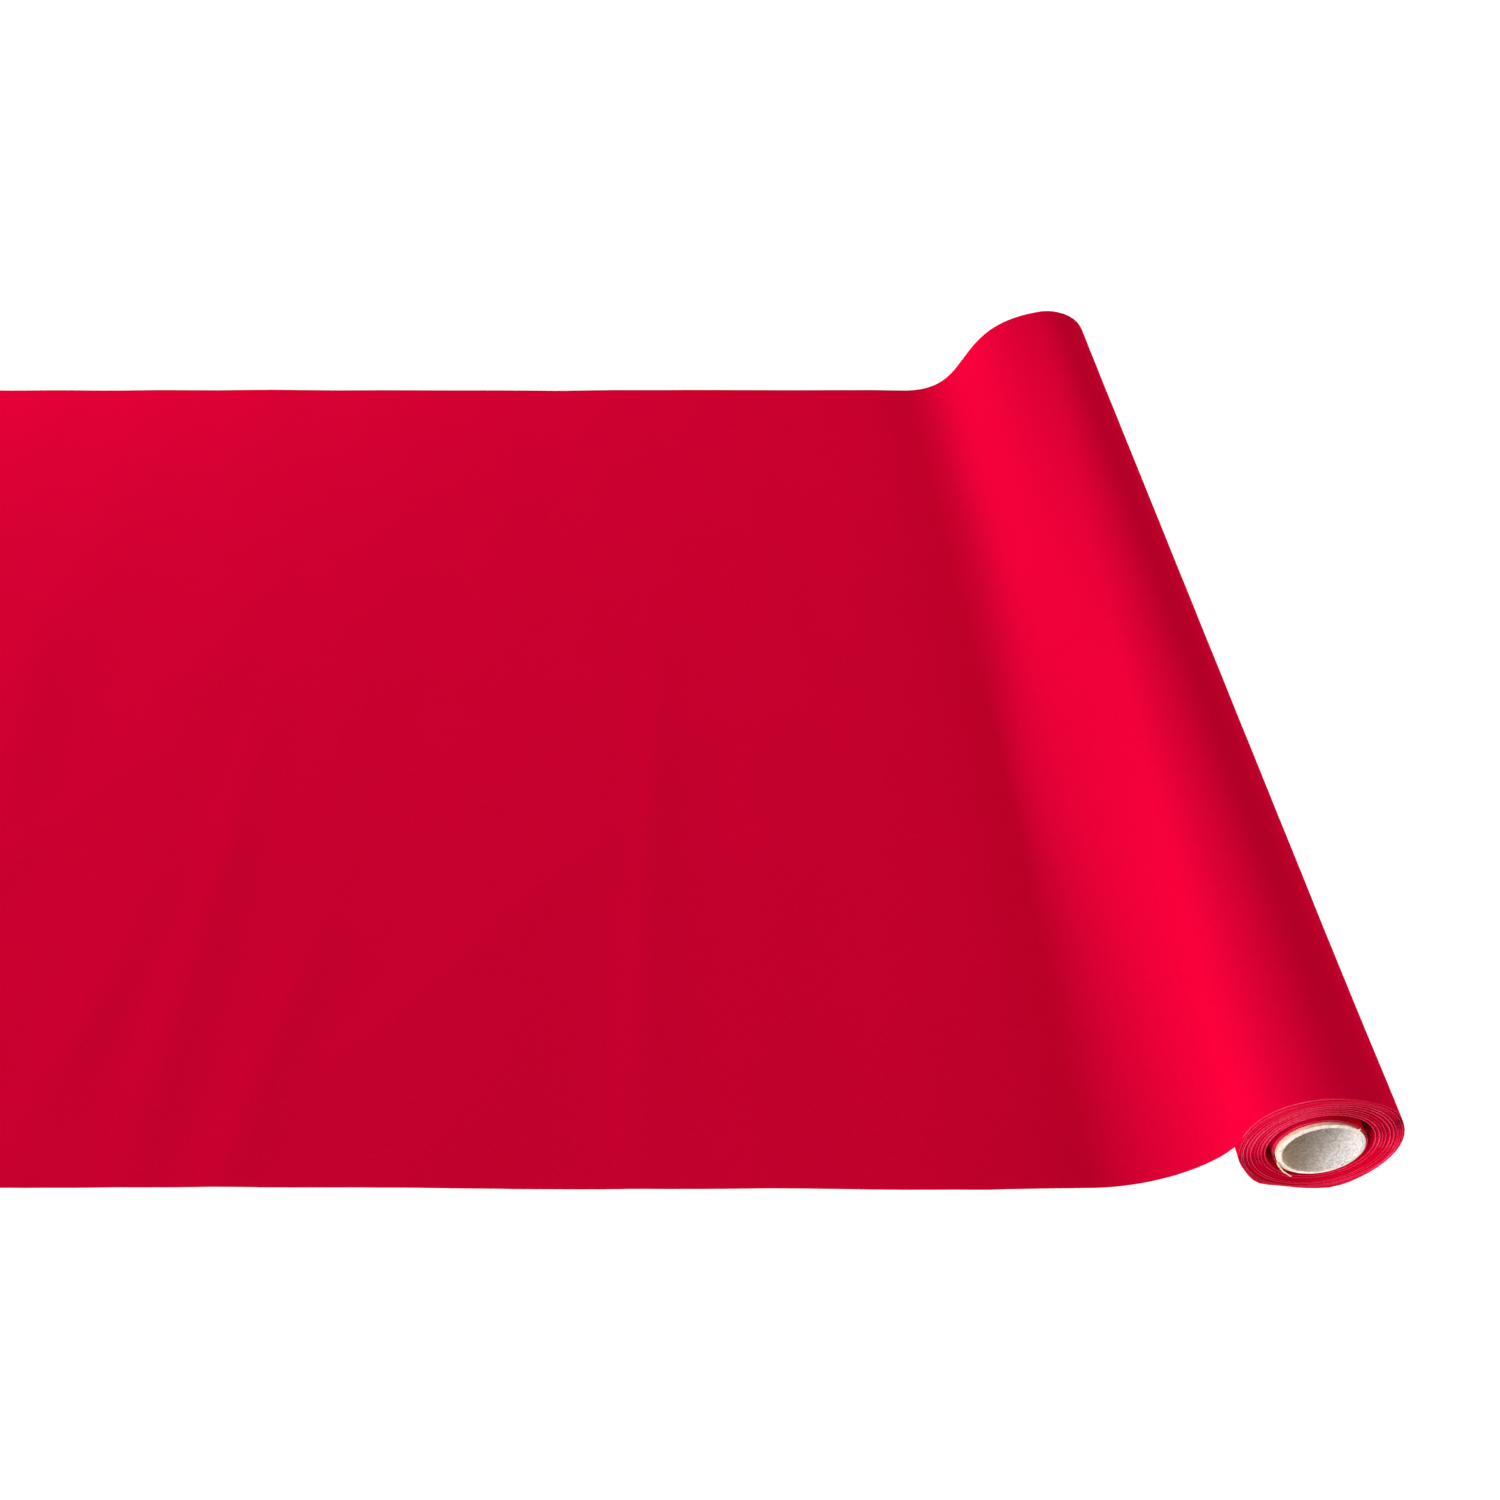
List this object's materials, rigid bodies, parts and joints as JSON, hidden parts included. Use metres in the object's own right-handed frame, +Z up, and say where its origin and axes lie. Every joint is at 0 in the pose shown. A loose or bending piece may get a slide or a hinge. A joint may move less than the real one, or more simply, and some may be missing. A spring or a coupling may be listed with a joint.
{
  "type": "backdrop paper roll",
  "caption": "Wide roll of soft matt sheet on an open paper core, its free end laid out flat in front of the roll.",
  "frame": {"origin": "on the table the roll lies on, under the middle of the whole object's box", "axes": "+X from the cut end of the sheet towards the roll, +Y along the roll, +Z up"},
  "size_m": [1.497, 1.2052, 0.1141],
  "materials": {
    "red_sheet": "matte",
    "grey_board": "matte",
    "cream_board": "matte",
    "kraft_ply": "matte",
    "clear_tape": "satin"
  },
  "bodies": {
    "laid_sheet": {"outer_wrap": "red_sheet", "lead_out": "red_sheet", "unrolled_sheet": "red_sheet"},
    "wound_roll": {"wound_wraps_1": "red_sheet", "wound_wraps_2": "red_sheet", "wound_wraps_3": "red_sheet", "wound_wraps_4": "red_sheet"},
    "core": {"core_liner_ply": "grey_board", "core_body_plies": "cream_board", "core_kraft_ply": "kraft_ply", "start_tape": "clear_tape", "first_wrap": "red_sheet"},
    "sheet_end": {"sheet_tail": "red_sheet"}
  },
  "joints": [
    {"name": "roll_spin", "type": "hinge", "parent": "laid_sheet", "child": "wound_roll", "pos_m": [0.69148, 0, 0.05705], "axis": [0, -1, 0], "range_deg": [-360, 360]},
    {"name": "core_spin", "type": "hinge", "parent": "laid_sheet", "child": "core", "pos_m": [0.69148, 0, 0.05605], "axis": [0, -1, 0], "range_deg": [-360, 360]},
    {"name": "tail_pull", "type": "slide", "parent": "laid_sheet", "child": "sheet_end", "axis": [-1, 0, 0], "range_m": [-0.358, 0.358]}
  ],
  "couplings": [
    {"joint": "core_spin", "follows": "roll_spin", "ratio": 1},
    {"joint": "tail_pull", "follows": "roll_spin", "m_per_rad": 0.05695}
  ]
}
